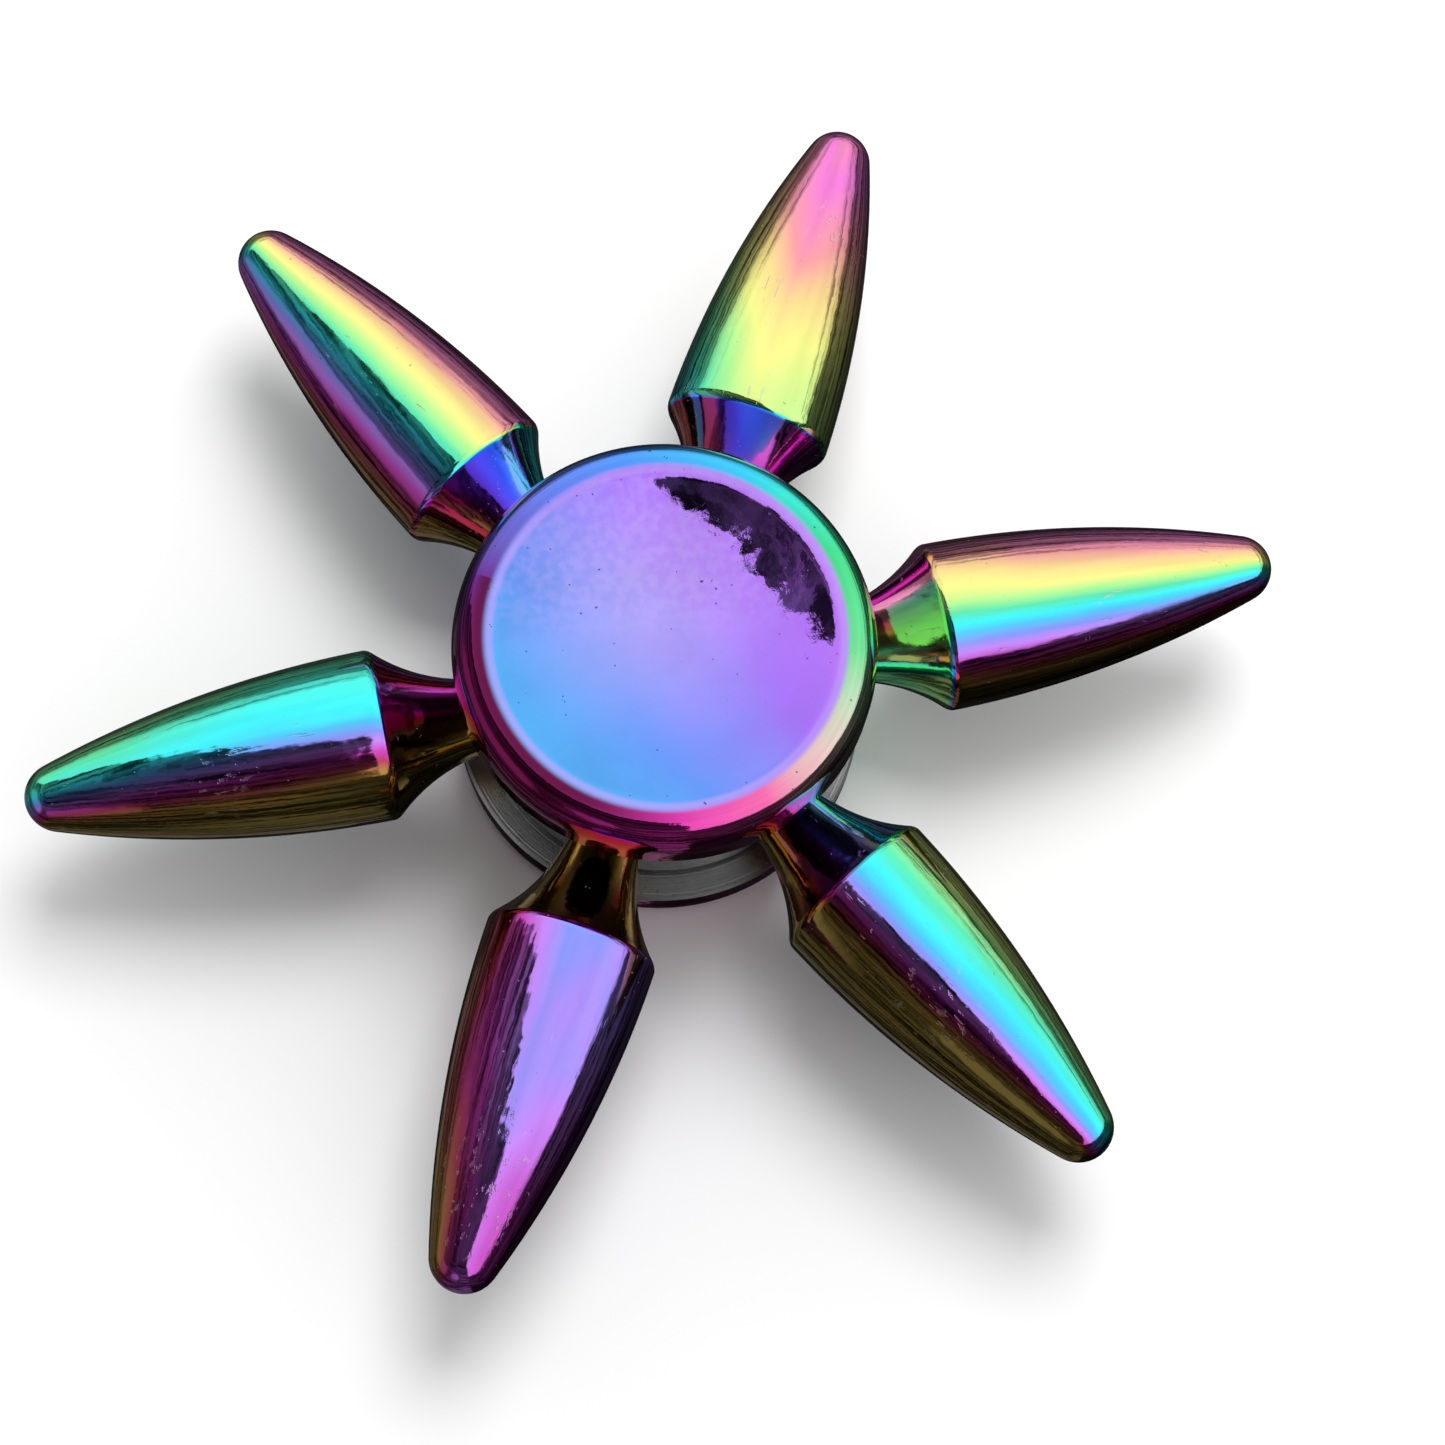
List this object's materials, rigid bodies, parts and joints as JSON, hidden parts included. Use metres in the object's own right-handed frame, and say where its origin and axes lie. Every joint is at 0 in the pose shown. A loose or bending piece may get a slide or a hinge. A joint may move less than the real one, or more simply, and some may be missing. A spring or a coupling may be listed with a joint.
{
  "type": "fidget spinner",
  "caption": "Metal fidget spinner with bullet-shaped arms on a hub ring that turns freely on a ball bearing between two dished finger caps.",
  "frame": {"origin": "centre of the ball bearing, on the spin axis, in the plane of the arms", "axes": "+Z along the spin axis towards the top cap, +X along bullet arm 1"},
  "size_m": [0.07, 0.0612, 0.0164],
  "materials": {
    "arm_coating": "polished",
    "cap_coating": "polished",
    "hub_metal": "satin",
    "bearing_steel": "polished",
    "shield_steel": "satin",
    "cage_metal": "satin"
  },
  "bodies": {
    "finger_caps": {"top_cap": "cap_coating", "bottom_cap": "cap_coating", "bearing_inner_race": "bearing_steel"},
    "rotor": {"hub_ring": "hub_metal", "bullet_arm_1": "arm_coating", "bullet_arm_2": "arm_coating", "bullet_arm_3": "arm_coating", "bullet_arm_4": "arm_coating", "bullet_arm_5": "arm_coating", "bullet_arm_6": "arm_coating", "bearing_outer_race": "bearing_steel", "bearing_shield_top": "shield_steel", "bearing_shield_bottom": "shield_steel", "shield_snap_ring_top": "shield_steel", "shield_snap_ring_bottom": "shield_steel"},
    "ball_cage": {"bearing_cage": "cage_metal"},
    "ball_1": {"bearing_ball_1": "bearing_steel"},
    "ball_2": {"bearing_ball_2": "bearing_steel"},
    "ball_3": {"bearing_ball_3": "bearing_steel"},
    "ball_4": {"bearing_ball_4": "bearing_steel"},
    "ball_5": {"bearing_ball_5": "bearing_steel"},
    "ball_6": {"bearing_ball_6": "bearing_steel"},
    "ball_7": {"bearing_ball_7": "bearing_steel"},
    "ball_8": {"bearing_ball_8": "bearing_steel"},
    "ball_9": {"bearing_ball_9": "bearing_steel"},
    "ball_10": {"bearing_ball_10": "bearing_steel"}
  },
  "joints": [
    {"name": "rotor_spin", "type": "hinge", "parent": "finger_caps", "child": "rotor", "pos_m": [0, 0, 0], "axis": [0, 0, 1], "continuous": true},
    {"name": "cage_spin", "type": "hinge", "parent": "finger_caps", "child": "ball_cage", "pos_m": [0, 0, 0], "axis": [0, 0, 1], "continuous": true},
    {"name": "ball_1_roll", "type": "hinge", "parent": "ball_cage", "child": "ball_1", "pos_m": [0.00476, 0, 0], "axis": [0, 0, 1], "continuous": true},
    {"name": "ball_2_roll", "type": "hinge", "parent": "ball_cage", "child": "ball_2", "pos_m": [0.00385, 0.0028, 0], "axis": [0, 0, 1], "continuous": true},
    {"name": "ball_3_roll", "type": "hinge", "parent": "ball_cage", "child": "ball_3", "pos_m": [0.00147, 0.00453, 0], "axis": [0, 0, 1], "continuous": true},
    {"name": "ball_4_roll", "type": "hinge", "parent": "ball_cage", "child": "ball_4", "pos_m": [-0.00147, 0.00453, 0], "axis": [0, 0, 1], "continuous": true},
    {"name": "ball_5_roll", "type": "hinge", "parent": "ball_cage", "child": "ball_5", "pos_m": [-0.00385, 0.0028, 0], "axis": [0, 0, 1], "continuous": true},
    {"name": "ball_6_roll", "type": "hinge", "parent": "ball_cage", "child": "ball_6", "pos_m": [-0.00476, 0, 0], "axis": [0, 0, 1], "continuous": true},
    {"name": "ball_7_roll", "type": "hinge", "parent": "ball_cage", "child": "ball_7", "pos_m": [-0.00385, -0.0028, 0], "axis": [0, 0, 1], "continuous": true},
    {"name": "ball_8_roll", "type": "hinge", "parent": "ball_cage", "child": "ball_8", "pos_m": [-0.00147, -0.00453, 0], "axis": [0, 0, 1], "continuous": true},
    {"name": "ball_9_roll", "type": "hinge", "parent": "ball_cage", "child": "ball_9", "pos_m": [0.00147, -0.00453, 0], "axis": [0, 0, 1], "continuous": true},
    {"name": "ball_10_roll", "type": "hinge", "parent": "ball_cage", "child": "ball_10", "pos_m": [0.00385, -0.0028, 0], "axis": [0, 0, 1], "continuous": true}
  ],
  "couplings": [
    {"joint": "cage_spin", "follows": "rotor_spin", "ratio": 0.58333},
    {"joint": "ball_1_roll", "follows": "rotor_spin", "ratio": 2.9167},
    {"joint": "ball_2_roll", "follows": "rotor_spin", "ratio": 2.9167},
    {"joint": "ball_3_roll", "follows": "rotor_spin", "ratio": 2.9167},
    {"joint": "ball_4_roll", "follows": "rotor_spin", "ratio": 2.9167},
    {"joint": "ball_5_roll", "follows": "rotor_spin", "ratio": 2.9167},
    {"joint": "ball_6_roll", "follows": "rotor_spin", "ratio": 2.9167},
    {"joint": "ball_7_roll", "follows": "rotor_spin", "ratio": 2.9167},
    {"joint": "ball_8_roll", "follows": "rotor_spin", "ratio": 2.9167},
    {"joint": "ball_9_roll", "follows": "rotor_spin", "ratio": 2.9167},
    {"joint": "ball_10_roll", "follows": "rotor_spin", "ratio": 2.9167}
  ]
}
